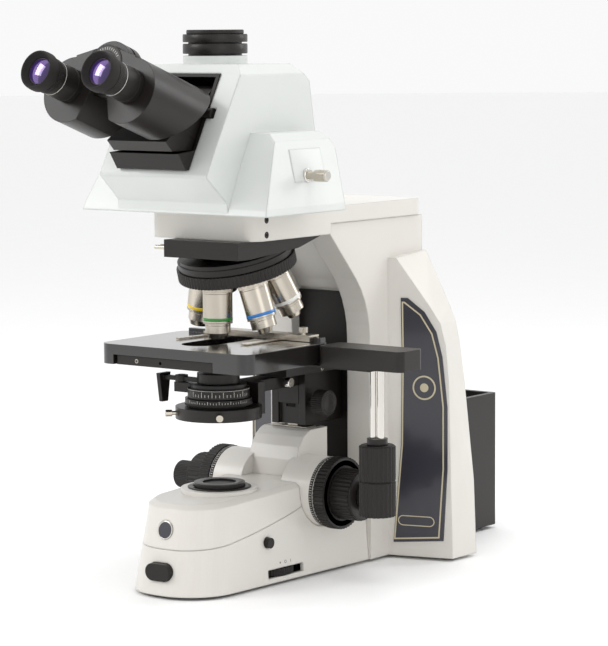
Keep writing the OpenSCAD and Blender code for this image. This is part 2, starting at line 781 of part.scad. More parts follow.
cove_r = 90;
cove_y = arm_front - cove_r;
arm_profile = concat([[arm_front, base_z0], [arm_front, 217]],
    [for (a = [8 : 8 : 40]) [cove_y + cove_r * cos(a), 217 + cove_r * sin(a)]],
    [[92, upper_bottom + 1], [92, arm_seam - 0.3], [arm_rear, arm_seam - 0.3], [arm_rear, base_z0]]);

module arm_casting() color(white) difference() {
    union() {
        x_prism(-arm_half, arm_half, arm_profile);
        leg();
        mirror([1, 0, 0]) leg();
    }
    // recess in the front, deeper than the liner
    box([-recess_half, 100, 90], [recess_half, arm_front + recess_depth, 262]);
    x_prism(-recess_half, recess_half, [[60, 255], [arm_front + recess_depth, 255], [arm_front + 4, 270], [120, 316], [60, 316]]);
    // hollow for the wiring and the lamp beam
    box([-45, arm_front + recess_depth + 6, base_z0 + 5], [45, arm_rear - 6, 250]);
    y_cyl(arm_front - 5, arm_rear + 5, 20, 0, 44);
}

module recess_liner() color(black)
    box([-recess_half + 0.2, arm_front + recess_depth - 3, 92], [recess_half - 0.2, arm_front + recess_depth, 259]);

module side_panels() color(panel_grey) mirror_pair() intersection() {
    translate([leg_half, leg_front, 0]) rotate([0, 0, leg_turn]) translate([-leg_half, 0, 0])
        translate([0, -0.1, 0]) rotate([90, 0, 0]) linear_extrude(0.9) polygon([[63, 16], [114, 20], [118, 90], [118, 150],
            [113, 198], [107, 222], [95, 241], [78, 254], [71, 254], [72, 200], [71, 112]]);
    box([0, 0, 0], [leg_half, 300, 300]);
}

module upper_arm() color(white) difference() {
    round_box([-upper_half, -upper_front], [upper_half, arm_rear], 13, upper_bottom, upper_top);
    box([-80, 91.7, upper_bottom - 5], [80, arm_rear + 5, arm_seam]);
    translate([0, 0, upper_bottom - 5]) cylinder(r = 15, h = 60);
}

badge_z = 61;
nose_slope = atan((rim_inset + nose_rake) / (rim_h - base_z0));

// Round badge let into the nose of the cover
module nose_badge() {
    translate([0, -nose_reach + (badge_z - base_z0) * tan(nose_slope) + 1, badge_z])
        rotate([90 - nose_slope, 0, 0]) cylinder(r = 8.6, h = 1.6);
}

module badges() color(metal) nose_badge();

// ---- Lamp house ----
module lamp_house() color(black) difference() {
    round_box([-lamp_half, arm_rear + 0.2], [lamp_half, arm_rear + lamp_len], 5, base_z0 + 1, lamp_top);
    round_box([-lamp_half + lamp_wall, arm_rear + lamp_wall], [lamp_half - lamp_wall, arm_rear + lamp_len - lamp_wall], 3,
        base_z0 + 1 + lamp_wall, lamp_top - 12);
    // shallow tray with the vents on top
    round_box([-lamp_half + 6, arm_rear + 8], [lamp_half - 6, arm_rear + lamp_len - 6], 3, lamp_top - 8, lamp_top + 5);
    for (i = [0 : 7]) box([-40, arm_rear + 24 + i * 12, lamp_top - 15], [40, arm_rear + 29 + i * 12, lamp_top]);
    y_cyl(arm_rear - 5, arm_rear + 10, 20, 0, 44);
    // cut-out of the mains inlet
    box([-13.6, arm_rear + lamp_len - 10, 22], [13.6, arm_rear + lamp_len + 5, 42]);
}

module lamp_module() color(metal) {
    y_cyl(arm_rear + 22, arm_rear + 34, 17, 0, 44);
    y_cyl(arm_rear + 34, arm_rear + 70, 24, 0, 44);
    box([-14, arm_rear + 36, base_z0 + 1 + lamp_wall], [14, arm_rear + 66, 24]);
}

module mains_inlet() color(black) difference() {
    box([-13.5, arm_rear + lamp_len - 24, 22.1], [13.5, arm_rear + lamp_len, 41.9]);
    difference() {
        box([-11.5, arm_rear + lamp_len - 18, 24.1], [11.5, arm_rear + lamp_len + 5, 39.9]);
        // contact pins
        for (p = [[-7, 30], [0, 34], [7, 30]])
            box([p[0] - 1, arm_rear + lamp_len - 19, p[1] - 2], [p[0] + 1, arm_rear + lamp_len - 6, p[1] + 2]);
    }
}

// ---- Head ----
skirt_top = 419;
skirt_side = [[-head_half, upper_top + 0.2], [head_half, upper_top + 0.2], [head_half - 1, upper_top + 7],
    [head_half - 15, 412], [head_half - 23, skirt_top], [-head_half + 23, skirt_top], [-head_half + 15, 412],
    [-head_half + 1, upper_top + 7]];
tower_side = [[-tower_half - 2, upper_top + 0.2], [tower_half + 2, upper_top + 0.2], [tower_half, 385],
    [tower_half, tower_top - 9], [tower_half - 7, tower_top], [-tower_half + 7, tower_top],
    [-tower_half, tower_top - 9], [-tower_half, 385]];
tower_profile = [[-63, upper_top + 0.2], [-64, 358], [-90, 381], [-90, 384], [-41, tower_top - 8], [-35, tower_top],
    [40, tower_top], [60, 464], [68, skirt_top], [68, upper_top + 0.2]];
skirt_profile = [[-64, upper_top + 0.2], [-62, upper_top + 6], [-28, skirt_top], [45, skirt_top], [56, 403], [54, upper_top + 0.2]];

pivot_y = -60;
pivot_z = 437;
drum_r = 26;

mouth_inner = [[-74, 388], [-20, 398], [-14, 430], [-16, 462], [-30, 472]];

module head_housing() color(cool_white) difference() {
    union() {
        intersection() {
            y_prism(-100, 100, tower_side);
            x_prism(-80, 80, tower_profile);
        }
        intersection() {
            y_prism(-100, 100, skirt_side);
            x_prism(-120, 120, skirt_profile);
        }
        translate([0, 0, tower_top - 20]) cylinder(r = 29.4, h = 27.5);
    }
    // mouth for the eyepiece body
    x_prism(-mouth_half, mouth_half, concat([[-120, mouth_inner[0][1]]], mouth_inner, [[-120, 472]]));
    // light path up to the camera port
    translate([0, 0, upper_top - 10]) cylinder(r = port_bore, h = 200);
    // prism chamber, and a hollow in each shoulder
    box([-50, -8, upper_top + 6], [50, 52, 458]);
    mirror_pair() box([60, -20, upper_top + 8], [86, 36, 402]);
    // guide of the beam splitter rod
    x_cyl(20, 120, 3.6 + run_gap, rod_y, rod_z);
    // bearings of the tilting eyepiece body
    x_cyl(-mouth_half - 8, mouth_half + 8, 5 + run_gap, pivot_y, pivot_z);
}

rod_y = 4;
rod_z = 381;

module splitter_rod() color(metal) {
    // prism carriage inside the chamber
    box([-16, rod_y - 11, rod_z - 14], [16, rod_y + 14, rod_z + 14]);
    x_cyl(15, head_half + 8, 3.6, rod_y, rod_z);
    x_cyl(head_half + 4, head_half + 16, 5.2, rod_y, rod_z);
}

module mouth_bezel() color(black) difference() {
    x_prism(-mouth_half, mouth_half, concat([[-102, 403], [-92, 388]], mouth_inner, [[-43, 472], [-78, 405]]));
    x_prism(-mouth_half + 3.5, mouth_half - 3.5, [[-130, 405], [-98, 402.5], [-60, 396], [-24, 401], [-18, 430], [-20, 460],
        [-31, 469], [-130, 469]]);
    translate([0, 0, 300]) cylinder(r = port_bore, h = 300);
    x_cyl(-60, 60, 6, pivot_y, pivot_z);
}

port_low = tower_top + 7.5;

module camera_port() color(black) difference() {
    union() {
        translate([0, 0, port_low]) cylinder(r = 24.5, h = 16);
        translate([0, 0, port_low + 1.8]) cylinder(r = port_r, h = 9);
        translate([0, 0, port_low + 12.2]) cylinder(r = port_r, h = 7.2);
    }
    translate([0, 0, port_low - 5]) cylinder(r = port_bore, h = 40);
}

module port_cap() color(black) {
    translate([0, 0, port_low + 19.4]) cylinder(r = 26.2, h = 4);
    difference() {
        translate([0, 0, port_low + 9.4]) cylinder(r = port_bore - 0.05, h = 10.1);
        translate([0, 0, port_low + 8]) cylinder(r = port_bore - 2.5, h = 9);
    }
}

// ---- Eyepiece body ----
// Frame of the tubes: +Z runs back and down along them, +Y across them and up
eye_y = -203;
eye_z = 478.6;
module tube_frame(x) {
    translate([x, eye_y, eye_z]) rotate([-90 - tube_tilt, 0, 0]) mirror([0, 1, 0]) children();
}

hinge_rise = 18;
hinge_r = 20;
face_s = 46;
ear_r = 25;
ear_w = 7;
arm_cut = [[99, -43], [143, 17]];
body_gap = 12.5;

// Frame of the central hinge between the two prism arms
module hinge_frame() {
    tube_frame(0) translate([0, hinge_rise, 0]) children();
}

// Prism across the tubes from an outline in S (along the tubes) and W (up from the hinge)
module across(x0, x1, outline) {
    hinge_frame() translate([x0, 0, 0]) rotate([0, 90, 0]) mirror([1, 0, 0]) linear_extrude(x1 - x0) polygon(outline);
}

module binocular_body() color(black) {
    hinge_frame() translate([0, 0, face_s]) cylinder(r = hinge_r, h = 92);
    difference() {
        union() {
            x_cyl(-mouth_half + 5.5, mouth_half - 5.5, drum_r, pivot_y, pivot_z);
            x_prism(-mouth_half + 6, mouth_half - 6, [[-112, 414], [-103, 405], [pivot_y, 405], [pivot_y, 452], [-112, 452]]);
        }
        // clear of the swinging arms
        across(-60, 60, [arm_cut[0] + [body_gap, 0], arm_cut[1] + [body_gap, 0], [arm_cut[1][0] + body_gap, 80],
            [0, 80], [0, -120], [arm_cut[0][0] + body_gap - 57, -120]]);
    }
    // trunnions in the head
    x_cyl(-mouth_half - 6, mouth_half + 6, 5, pivot_y, pivot_z);
}

swing_in = 20.8;
swing_out = 11;

// One prism arm at its right-hand place; ear_at and other_at are the places of the ears along the hinge
module prism_arm(ear_at, other_at) difference() {
    union() {
        difference() {
            hinge_frame() intersection() {
                union() {
                    translate([eye_half - 2, -21.5, face_s]) cylinder(r = arm_shell_r, h = 100);
                    translate([0, 0, face_s]) linear_extrude(100) polygon([[0, -26], [0, 18], [6, 18], [34, 10], [34, -26]]);
                }
                // room to swing past the other arm
                translate([0, 0, face_s]) linear_extrude(100) polygon([[0.43, 0], [0.43 + 40 * tan(swing_out), 40], [80, 40],
                    [80, -80], [0.43 + 80 * tan(swing_in), -80]]);
            }
            hinge_frame() translate([0, 0, face_s - 1]) cylinder(r = hinge_r + 0.4, h = 200);
            // oblique rear
            across(-1, 90, [arm_cut[0] + [-44, -60], arm_cut[0], arm_cut[1], arm_cut[1] + [20, 27], [300, 60], [300, -110]]);
        }
        hinge_frame() translate([0, 0, ear_at]) cylinder(r = ear_r, h = ear_w);
    }
    hinge_frame() translate([0, 0, ear_at - 60]) cylinder(r = hinge_r + run_gap, h = 200);
    hinge_frame() translate([0, 0, other_at - 0.5]) difference() {
        cylinder(r = ear_r + 0.5, h = ear_w + 1);
        translate([0, 0, -1]) cylinder(r = hinge_r - 1, h = ear_w + 3);
    }
    // seat of the eyepiece
    tube_frame(eye_half) translate([0, 0, face_s - 5]) cylinder(r = sleeve_r, h = 35);
}

near_ear = face_s + 6;
far_ear = face_s + 16;
module right_prism_arm() color(black) prism_arm(near_ear, far_ear);
module left_prism_arm() color(black) mirror([1, 0, 0]) prism_arm(far_ear, near_ear);

// Eyepiece: barrel in the tube, body, and lenses
module eyepiece() tube_frame(eye_half) difference() {
    union() {
        translate([0, 0, 12]) cylinder(r = eyepiece_r, h = face_s - 12.1);
        translate([0, 0, 6]) cylinder(r = 12, h = 10);
        translate([0, 0, face_s - 1]) cylinder(r = sleeve_r, h = 30);
    }
    translate([0, 0, 0]) cylinder(r = 9, h = 8);
}

module right_eyepiece() color(black) eyepiece();
module left_eyepiece() color(black) mirror([1, 0, 0]) eyepiece();

module eyecup() tube_frame(eye_half) difference() {
    cylinder(r = eyecup_r, h = 11.5);
    translate([0, 0, -1]) cylinder(r = 12 + run_gap, h = 20);
    translate([0, 0, -0.1]) cylinder(r1 = 16, r2 = 12, h = 4);
}

module right_eyecup() color(black) eyecup();
module left_eyecup() color(black) mirror([1, 0, 0]) eyecup();

base_casting();
base_cover();
base_plate();
rubber_feet();
focus_column();
arm_casting();
upper_arm();
side_panels();
badges();
recess_liner();
lamp_house();
lamp_module();
mains_inlet();
relay_mirror();
field_lens();
illuminator_collar();
nosepiece_holder();
head_housing();
camera_port();
port_cap();
mouth_bezel();
field_ring();
dimmer_wheel();
front_button();
side_button();
coarse_shaft();
coarse_knobs();
fine_spindle();
tension_ring();
stop_ring();
focus_post();
focusing_block();
stage_lower_plate();
xy_gearbox();
stage_top_plate();
specimen_holder();
clip_finger();
x_knob();
y_knob();
condenser_holder();
condenser_body();
iris_ring();
swing_lens();
condenser_knob();
centring_screws();
turret();
objective_green();
objective_yellow();
objective_blue();
objective_white();
objective_red();
nosepiece_slider();
binocular_body();
left_prism_arm();
right_prism_arm();
left_eyepiece();
right_eyepiece();
left_eyecup();
right_eyecup();
splitter_rod();
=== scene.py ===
# %% [markdown]
# # An upright research microscope
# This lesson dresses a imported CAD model: it gives every part a procedural finish, adds the small
# pieces that a CAD model leaves out, and lights the result on a pale floor.
# Lengths are in metres. +Z is up the optical axis, +Y goes to the back, +X is the user's right.

# %% Load the frame
import json
import math
import bmesh
import bpy
from mathutils import Matrix, Vector


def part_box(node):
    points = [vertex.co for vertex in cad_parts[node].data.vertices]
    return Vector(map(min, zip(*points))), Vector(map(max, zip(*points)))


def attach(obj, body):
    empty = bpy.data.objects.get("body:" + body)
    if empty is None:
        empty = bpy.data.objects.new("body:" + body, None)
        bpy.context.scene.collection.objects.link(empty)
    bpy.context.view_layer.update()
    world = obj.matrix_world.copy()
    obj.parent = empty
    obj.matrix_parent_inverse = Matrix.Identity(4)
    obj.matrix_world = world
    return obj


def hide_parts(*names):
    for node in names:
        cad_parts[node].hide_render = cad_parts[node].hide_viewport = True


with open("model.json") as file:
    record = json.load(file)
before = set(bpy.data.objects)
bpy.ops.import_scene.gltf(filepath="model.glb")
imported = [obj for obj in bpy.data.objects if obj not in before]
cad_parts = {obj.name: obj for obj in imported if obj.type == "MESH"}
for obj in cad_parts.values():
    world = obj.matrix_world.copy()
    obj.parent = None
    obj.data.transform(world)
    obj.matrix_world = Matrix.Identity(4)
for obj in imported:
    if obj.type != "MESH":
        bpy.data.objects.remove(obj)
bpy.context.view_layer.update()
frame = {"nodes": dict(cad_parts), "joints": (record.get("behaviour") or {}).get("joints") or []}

MM = 0.001

joints = {joint["name"]: joint for joint in frame["joints"]}


# %% [markdown]
# ## Colours and node helpers
# Colours are written as sRGB hex and made linear once. `add` puts a node in a tree and sets its inputs:
# a value is stored in the socket, and another node's socket is linked to it.

# %% Helpers for materials
def linear(hex_code):
    values = [int(hex_code[i:i + 2], 16) / 255 for i in (1, 3, 5)]
    return [v / 12.92 if v <= 0.04045 else ((v + 0.055) / 1.055) ** 2.4 for v in values] + [1.0]


def add(tree, kind, settings=None, **inputs):
    node = tree.nodes.new(kind)
    for key, value in (settings or {}).items():
        setattr(node, key, value)
    for key, value in inputs.items():
        socket = node.inputs[key.replace("_", " ")]
        if isinstance(value, bpy.types.NodeSocket):
            tree.links.new(value, socket)
        else:
            socket.default_value = value
    return node


def empty_material(name):
    material = bpy.data.materials.new(name)
    material.use_nodes = True
    material.node_tree.nodes.clear()
    return material


def in_mm(tree, stretch=(1, 1, 1)):
    """Object coordinates in millimetres."""
    place = add(tree, "ShaderNodeTexCoord")
    scale = Vector(stretch) * 1000
    return add(tree, "ShaderNodeMapping", Vector=place.outputs["Object"], Scale=scale).outputs["Vector"]


def blend_colours(tree, factor, first, second):
    mix = add(tree, "ShaderNodeMix", {"data_type": "RGBA"})
    tree.links.new(factor, mix.inputs[0])
    for index, colour in ((6, first), (7, second)):
        if isinstance(colour, bpy.types.NodeSocket):
            tree.links.new(colour, mix.inputs[index])
        else:
            mix.inputs[index].default_value = colour
    return mix.outputs[2]


# %% [markdown]
# ## Finishes
# One recipe serves every opaque finish. A broad noise shifts the colour a little and shifts the gloss as
# handling does, and a fine one gives the surface its grain. The Bevel node rounds the sharp CAD edges in the
# shading, so castings catch a soft highlight along them.

# %% The finish recipe
def finish(name, colour, second=None, rough=0.4, spread=0.06, metallic=0.0, coat=0.0,
           grain_mm=0.8, grain=0.04, edge_mm=0.8, patch_mm=60, stretch=(1, 1, 1), specular=0.5):
    material = empty_material(name)
    tree = material.node_tree
    place = in_mm(tree)
    patches = add(tree, "ShaderNodeTexNoise", Vector=place, Scale=1 / patch_mm, Detail=4.0)
    fine = add(tree, "ShaderNodeTexNoise", Vector=in_mm(tree, stretch), Scale=1 / grain_mm, Detail=5.0)
    base = linear(colour)
    if second:
        base = blend_colours(tree, patches.outputs["Fac"], base, linear(second))
    gloss = add(tree, "ShaderNodeMapRange", Value=patches.outputs["Fac"], To_Min=rough - spread,
                To_Max=rough + spread)
    edges = add(tree, "ShaderNodeBevel", {"samples": 4}, Radius=edge_mm * MM)
    relief = add(tree, "ShaderNodeBump", Height=fine.outputs["Fac"], Strength=grain, Distance=grain_mm * MM,
                 Normal=edges.outputs["Normal"])
    shader = add(tree, "ShaderNodeBsdfPrincipled", Base_Color=base, Roughness=gloss.outputs["Result"],
                 Metallic=metallic, Coat_Weight=coat, Coat_Roughness=0.12, Specular_IOR_Level=specular,
                 Normal=relief.outputs["Normal"])
    add(tree, "ShaderNodeOutputMaterial", Surface=shader.outputs["BSDF"])
    return material


# %% [markdown]
# The stand is a warm white powder coat with a faint orange peel, and the head is a cooler white.
# The black parts come in four kinds: satin paint, textured plastic, the glossy stage and rubber. The rubber
# finish also fills the screw sockets, where it is painted shade.
# Nickel, steel and the enamel bands are all turned parts.

# %% All the finishes
stand_paint = finish("warm_white_powder_coat", "#D8D5CF", "#D1CDC6", 0.34, 0.05, coat=0.25, grain_mm=1.6,
                     grain=0.05, edge_mm=2.2)
head_paint = finish("cool_white_powder_coat", "#D1D4D1", "#CACDCA", 0.36, 0.05, coat=0.2, grain_mm=1.6,
                    grain=0.05, edge_mm=2.6)
black_paint = finish("satin_black_paint", "#191614", "#211D1A", 0.36, 0.07, coat=0.05, grain_mm=0.6,
                     grain=0.10, edge_mm=1.0, specular=0.32)
black_plastic = finish("textured_black_plastic", "#181513", "#1F1C1A", 0.47, 0.06, grain_mm=0.45, grain=0.16,
                       edge_mm=0.7, specular=0.32)
gloss_black = finish("glossy_black_coating", "#161414", "#1F1C1A", 0.14, 0.05, coat=0.6, grain_mm=0.3,
                     grain=0.02, edge_mm=1.0)
# The rubber finish also colours the hexagons in the screw sockets, where it is painted shade for the recess
rubber = finish("matt_black_rubber", "#1B1918", "#24211F", 0.72, 0.08, grain_mm=0.35, grain=0.22, edge_mm=0.6,
                specular=0.3)
panel_grey = finish("blue_grey_panel", "#2A2A32", "#32323B", 0.30, 0.05, coat=0.35, grain_mm=0.5, grain=0.05,
                    edge_mm=0.3)
nickel = finish("satin_nickel", "#C9C2B6", "#BDB5A8", 0.24, 0.05, metallic=1.0, grain_mm=0.5, grain=0.05,
                edge_mm=0.4, stretch=(1, 1, 14))
chrome = finish("polished_chrome", "#DAD8D3", "#CFCBC4", 0.10, 0.03, metallic=1.0, grain_mm=0.7, grain=0.02,
                edge_mm=0.4)
steel = finish("turned_steel", "#B4AFA6", "#A39E96", 0.30, 0.06, metallic=1.0, grain_mm=0.4, grain=0.08,
               edge_mm=0.4, stretch=(14, 1, 1))
mirror = finish("front_silvered_mirror", "#E2E5E6", "#D9DDDF", 0.04, 0.01, metallic=1.0, grain=0.0)
beige = finish("beige_trim_paint", "#C9BFA4", "#BFB498", 0.45, 0.05, grain_mm=0.4, grain=0.05, edge_mm=0.2)
ink = finish("white_engraved_ink", "#E8E6DF", "#DEDBD2", 0.55, 0.04, grain_mm=0.2, grain=0.08, edge_mm=0.05)
grey_ink = finish("grey_printed_ink", "#6C6A66", "#757370", 0.55, 0.04, grain_mm=0.2, grain=0.06,
                  edge_mm=0.05)
ENAMEL = {"yellow": "#F2CF00", "green": "#2B8A2F", "blue": "#1E7BCB", "white": "#EDEDE8", "red": "#B3241C"}
enamel = {name: finish(name + "_enamel", code, None, 0.25, 0.04, coat=0.5, grain_mm=0.3, grain=0.03,
                       edge_mm=0.1)
          for name, code in ENAMEL.items()}


# %% [markdown]
# Lenses are glass with a thin coating. Their look is a painted reflection in the base colour: a purple
# coating reflection head-on and a paler painted reflection at a glancing angle. A plain glass shader would
# show only what is behind it. A layer weight blends these two tints instead, and a little transmission lets
# the black tube behind show through.

# %% Coated glass
def coated_glass(name, face, rim):
    material = empty_material(name)
    tree = material.node_tree
    angle = add(tree, "ShaderNodeLayerWeight", Blend=0.35)
    smears = add(tree, "ShaderNodeTexNoise", Vector=in_mm(tree), Scale=1 / 9, Detail=3.0)
    # Painted reflection: the facing blend puts the head-on reflection colour and the paler glancing
    # reflection into the base colour
    painted_reflection_tint = blend_colours(tree, angle.outputs["Facing"], linear(face), linear(rim))
    gloss = add(tree, "ShaderNodeMapRange", Value=smears.outputs["Fac"], To_Min=0.02, To_Max=0.07)
    shader = add(tree, "ShaderNodeBsdfPrincipled", Base_Color=painted_reflection_tint, Roughness=gloss.outputs["Result"],
                 IOR=1.52, Transmission_Weight=0.35, Coat_Weight=1.0, Coat_Roughness=0.02,
                 Coat_Tint=linear("#B79AE0"))
    add(tree, "ShaderNodeOutputMaterial", Surface=shader.outputs["BSDF"])
    return material


# Both tints of each lens are painted reflections: the first colour head-on, the second at a glancing angle
eye_glass = coated_glass("purple_coated_glass", "#3B2A55", "#8E7BB5")
field_glass = coated_glass("field_lens_glass", "#8C99A6", "#C4CDD6")

# %% [markdown]
# ## Finishes on the CAD parts
# Each CAD part keeps its shape and only its material slots change.

# %% Assign the finishes
FINISH_OF = {
    stand_paint: ["base_casting", "base_cover", "focus_column", "arm_casting", "upper_arm"],
    head_paint: ["head_housing"],
    black_paint: ["base_plate", "lamp_house", "illuminator_collar", "nosepiece_holder", "camera_port",
                  "field_ring", "focusing_block", "stage_lower_plate", "xy_gearbox", "condenser_holder",
                  "condenser_body", "iris_ring", "swing_lens", "turret", "objective_red", "binocular_body",
                  "left_prism_arm", "right_prism_arm"],
    black_plastic: ["recess_liner", "mains_inlet", "port_cap", "mouth_bezel", "dimmer_wheel", "front_button",
                    "side_button", "coarse_knobs", "fine_spindle", "tension_ring", "stop_ring", "x_knob",
                    "y_knob", "condenser_knob", "left_eyepiece", "right_eyepiece"],
    gloss_black: ["stage_top_plate"],
    rubber: ["rubber_feet", "left_eyecup", "right_eyecup"],
    panel_grey: ["side_panels"],
    nickel: ["specimen_holder", "clip_finger", "centring_screws", "objective_green", "objective_yellow",
             "objective_blue", "objective_white", "nosepiece_slider", "splitter_rod"],
    steel: ["lamp_module", "coarse_shaft", "focus_post", "badges"],
    mirror: ["relay_mirror"],
    field_glass: ["field_lens"],
}
for material, names in FINISH_OF.items():
    for name in names:
        for slot in frame["nodes"][name].material_slots:
            slot.material = material
print(sum(map(len, FINISH_OF.values())), "CAD parts have one of", len(FINISH_OF), "finishes")


# %% [markdown]
# ## Building pieces
# A piece is made in its own upright frame and then moved into place in its mesh, so that its object
# stays at the origin. `turned` spins an outline of (radius, height) points round Z, and `block` is a
# bevelled box. `along` gives a frame whose Z follows an axis.

# %% Helpers for shapes
def along(origin, axis, side=(1, 0, 0)):
    up = Vector(axis).normalized()
    across = Vector(side) - up * Vector(side).dot(up)
    across.normalize()
    third = up.cross(across)
    turn = Matrix((across, third, up)).transposed().to_4x4()
    return Matrix.Translation(Vector(origin)) @ turn


def make(name, mesh, place, material, body, smooth_angle=35):
    mesh.transform(place)
    bmesh.ops.recalc_face_normals(mesh, faces=mesh.faces)
    data = bpy.data.meshes.new(name)
    mesh.to_mesh(data)
    mesh.free()
    piece = bpy.data.objects.new(name, data)
    bpy.context.collection.objects.link(piece)
    data.materials.append(material)
    data.shade_smooth()
    data.set_sharp_from_angle(angle=math.radians(smooth_angle))
    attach(piece, body)
    return piece


def turned(name, outline, place, material, body, steps=64):
    mesh = bmesh.new()
    points = [mesh.verts.new((r * MM, 0, z * MM)) for r, z in outline]
    edges = [mesh.edges.new(pair) for pair in zip(points, points[1:])]
    bmesh.ops.spin(mesh, geom=points + edges, cent=(0, 0, 0), axis=(0, 0, 1), angle=math.tau, steps=steps,
                   use_merge=True)
    bmesh.ops.remove_doubles(mesh, verts=mesh.verts, dist=1e-6)
    return make(name, mesh, place, material, body)


def knurled(name, radius, low, high, count, depth, place, material, body):
    """A band of straight knurling: every other column of a cylinder is pushed in."""
    mesh = bmesh.new()
    bmesh.ops.create_cone(mesh, cap_ends=True, segments=count * 4, radius1=radius * MM, radius2=radius * MM,
                          depth=(high - low) * MM, matrix=Matrix.Translation((0, 0, (low + high) / 2 * MM)))
    for vertex in mesh.verts:
        angle = math.atan2(vertex.co.y, vertex.co.x)
        column = round(angle / math.tau * count * 4) % 4
        if column in (0, 1):
            vertex.co.xy *= 1 - depth / radius
    return make(name, mesh, place, material, body, 20)


BLOCK_PROFILE = 0.6


def block(name, size, place, material, body, bevel=0.4, segments=3):
    mesh = bmesh.new()
    bmesh.ops.create_cube(mesh, size=1, matrix=Matrix.Diagonal((*[s * MM for s in size], 1)))
    bmesh.ops.bevel(mesh, geom=mesh.edges[:], offset=bevel * MM, segments=segments, affect="EDGES",
                    profile=BLOCK_PROFILE, material=-1)
    return make(name, mesh, place, material, body)


def marks(name, radius, spans, place, material, body, width=0.35, proud=0.06):
    """Short lines engraved round a cylinder; a span is (angle, low, high) in degrees and millimetres."""
    mesh = bmesh.new()
    for angle, low, high in spans:
        size = Matrix.Diagonal((2 * proud * MM, width * MM, (high - low) * MM, 1))
        out = Matrix.Translation((radius * MM, 0, (low + high) / 2 * MM))
        spot = Matrix.Rotation(math.radians(angle), 4, "Z") @ out
        bmesh.ops.create_cube(mesh, size=1, matrix=spot @ size)
    return make(name, mesh, place, material, body)


def at(x, y, z):
    return Matrix.Translation((x * MM, y * MM, z * MM))


Z_TO_X = Matrix.Rotation(math.radians(90), 4, "Y")
Z_TO_MINUS_X = Matrix.Rotation(math.radians(-90), 4, "Y")


def centre(node):
    low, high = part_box(node)
    return (Vector(low) + Vector(high)) / 2


# %% [markdown]
# ## Camera
# The view looks from the user's right, slightly downwards, through a long lens.

# %% Camera
AZIMUTH = math.radians(37.18)
PITCH = math.radians(6.27)
camera_data = bpy.data.cameras.new("camera")
camera = bpy.data.objects.new("camera", camera_data)
bpy.context.collection.objects.link(camera)
camera_data.lens = 152.0
camera_data.sensor_width = 36
camera_data.clip_end = 20
back = Vector((math.sin(AZIMUTH) * math.cos(PITCH), -math.cos(AZIMUTH) * math.cos(PITCH), math.sin(PITCH)))
right = Vector((math.cos(AZIMUTH), math.sin(AZIMUTH), 0))
up = back.cross(right)
CAMERA_PLACE = (1.57127, -1.94034, 0.51612)
camera_turn = Matrix((right, up, back)).transposed().to_4x4()
camera.matrix_world = Matrix.Translation(CAMERA_PLACE) @ camera_turn @ Matrix.Rotation(-0.0063, 4, "Z")
bpy.context.scene.camera = camera
print("camera at", tuple(camera.matrix_world.translation))


# %% [markdown]
# ## Eyepieces
# The eyecups are soft rubber with a rolled lip. The CAD has plain rings, so a turned outline replaces
# each of them: spinning one outline keeps the lip round and closed. A coated lens sits inside, and the
# barrel gets a ribbed ring and a few lines. The lines show where a scale is; they carry no values.

# %% Eyepieces
CUP = [(12.3, 11.4), (16.6, 11.4), (17.4, 10.9), (17.8, 9.6), (17.9, 6.5), (17.6, 3.0), (17.1, 1.0),
       (16.4, 0.2), (15.6, 0.5), (14.6, 2.2), (13.2, 4.6), (12.3, 5.6), (12.3, 11.4)]
LENS = [(0, 3.9), (3, 4.05), (6, 4.5), (9, 5.2), (11.2, 5.95), (11.2, 6.6), (0, 6.6)]
EDGE = [(15.3, 40.0), (15.8, 40.3), (15.8, 41.3), (15.3, 41.6)]
for side in ("left", "right"):
    joint = joints[side + "_diopter"]
    eye = along(joint["pos_m"], joint["axis"])
    cup = turned(side + "_rubber_cup", CUP, eye, rubber, side + "_cup")
    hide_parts(side + "_eyecup")
    tube = side + "_tube"
    turned(side + "_eye_lens", LENS, eye, eye_glass, tube)
    knurled(side + "_eyepiece_grip", 16.0, 13.8, 19.6, 60, 0.4, eye, black_plastic, tube)
    turned(side + "_eyepiece_collar", EDGE + EDGE[:1], eye, black_paint, tube)
    turned(side + "_eyepiece_line", [(15.45, 23.6), (15.58, 23.6), (15.58, 24.0), (15.45, 24.0),
                                     (15.45, 23.6)], eye,
           ink, tube)
    marks(side + "_eyepiece_ticks", 15.5, [(-90 + 6 * i, 26, 29 if i % 2 else 31) for i in range(-4, 5)],
          eye, ink, tube)

# %% [markdown]
# The hinge between the two tubes ends in a round cap with marks for the distance between the eyes. It
# is turned on the hinge joint's own axis, so it stays true when the tubes swing.

# %% Hinge cap
hinge = along(Vector(joints["right_swing"]["pos_m"]) - Vector(joints["right_swing"]["axis"]) * 14 * MM,
              joints["right_swing"]["axis"])
CAP = [(0, -0.9), (13.6, -0.9), (14.2, -0.4), (14.4, 0.2), (18.2, 0.2), (18.8, -0.2), (19.4, -0.2),
       (19.8, 0.3)]
turned("hinge_cap", CAP, hinge, black_paint, "eyepiece_tilt")
marks("hinge_scale", 16.4, [(-90 + 9 * i, -0.12, 0.22) for i in range(-6, 7)], hinge, ink, "eyepiece_tilt",
      0.35, 1.1)

# %% [markdown]
# ## Objectives
# The nosepiece axis gives every objective's place: each barrel leans out from it by the same angle as
# the axis leans from the vertical, and the one in use hangs straight down.

# %% Objective bands and rings
nose = joints["nosepiece_turn"]
pivot = Vector(nose["pos_m"])
nose_axis = Vector(nose["axis"]).normalized()
lean = math.acos(-nose_axis.z)
reach = pivot.y / math.cos(lean)
toward_user = nose_axis.cross(Vector((1, 0, 0)))
toward_user = toward_user if toward_user.y < 0 else -toward_user


def port(turn):
    out = toward_user * math.cos(turn) + Vector((1, 0, 0)) * math.sin(turn)
    return along(pivot + out * reach, nose_axis * math.cos(lean) + out * math.sin(lean), toward_user)


BARREL_R = 13.7
NOSE_CONE = 14
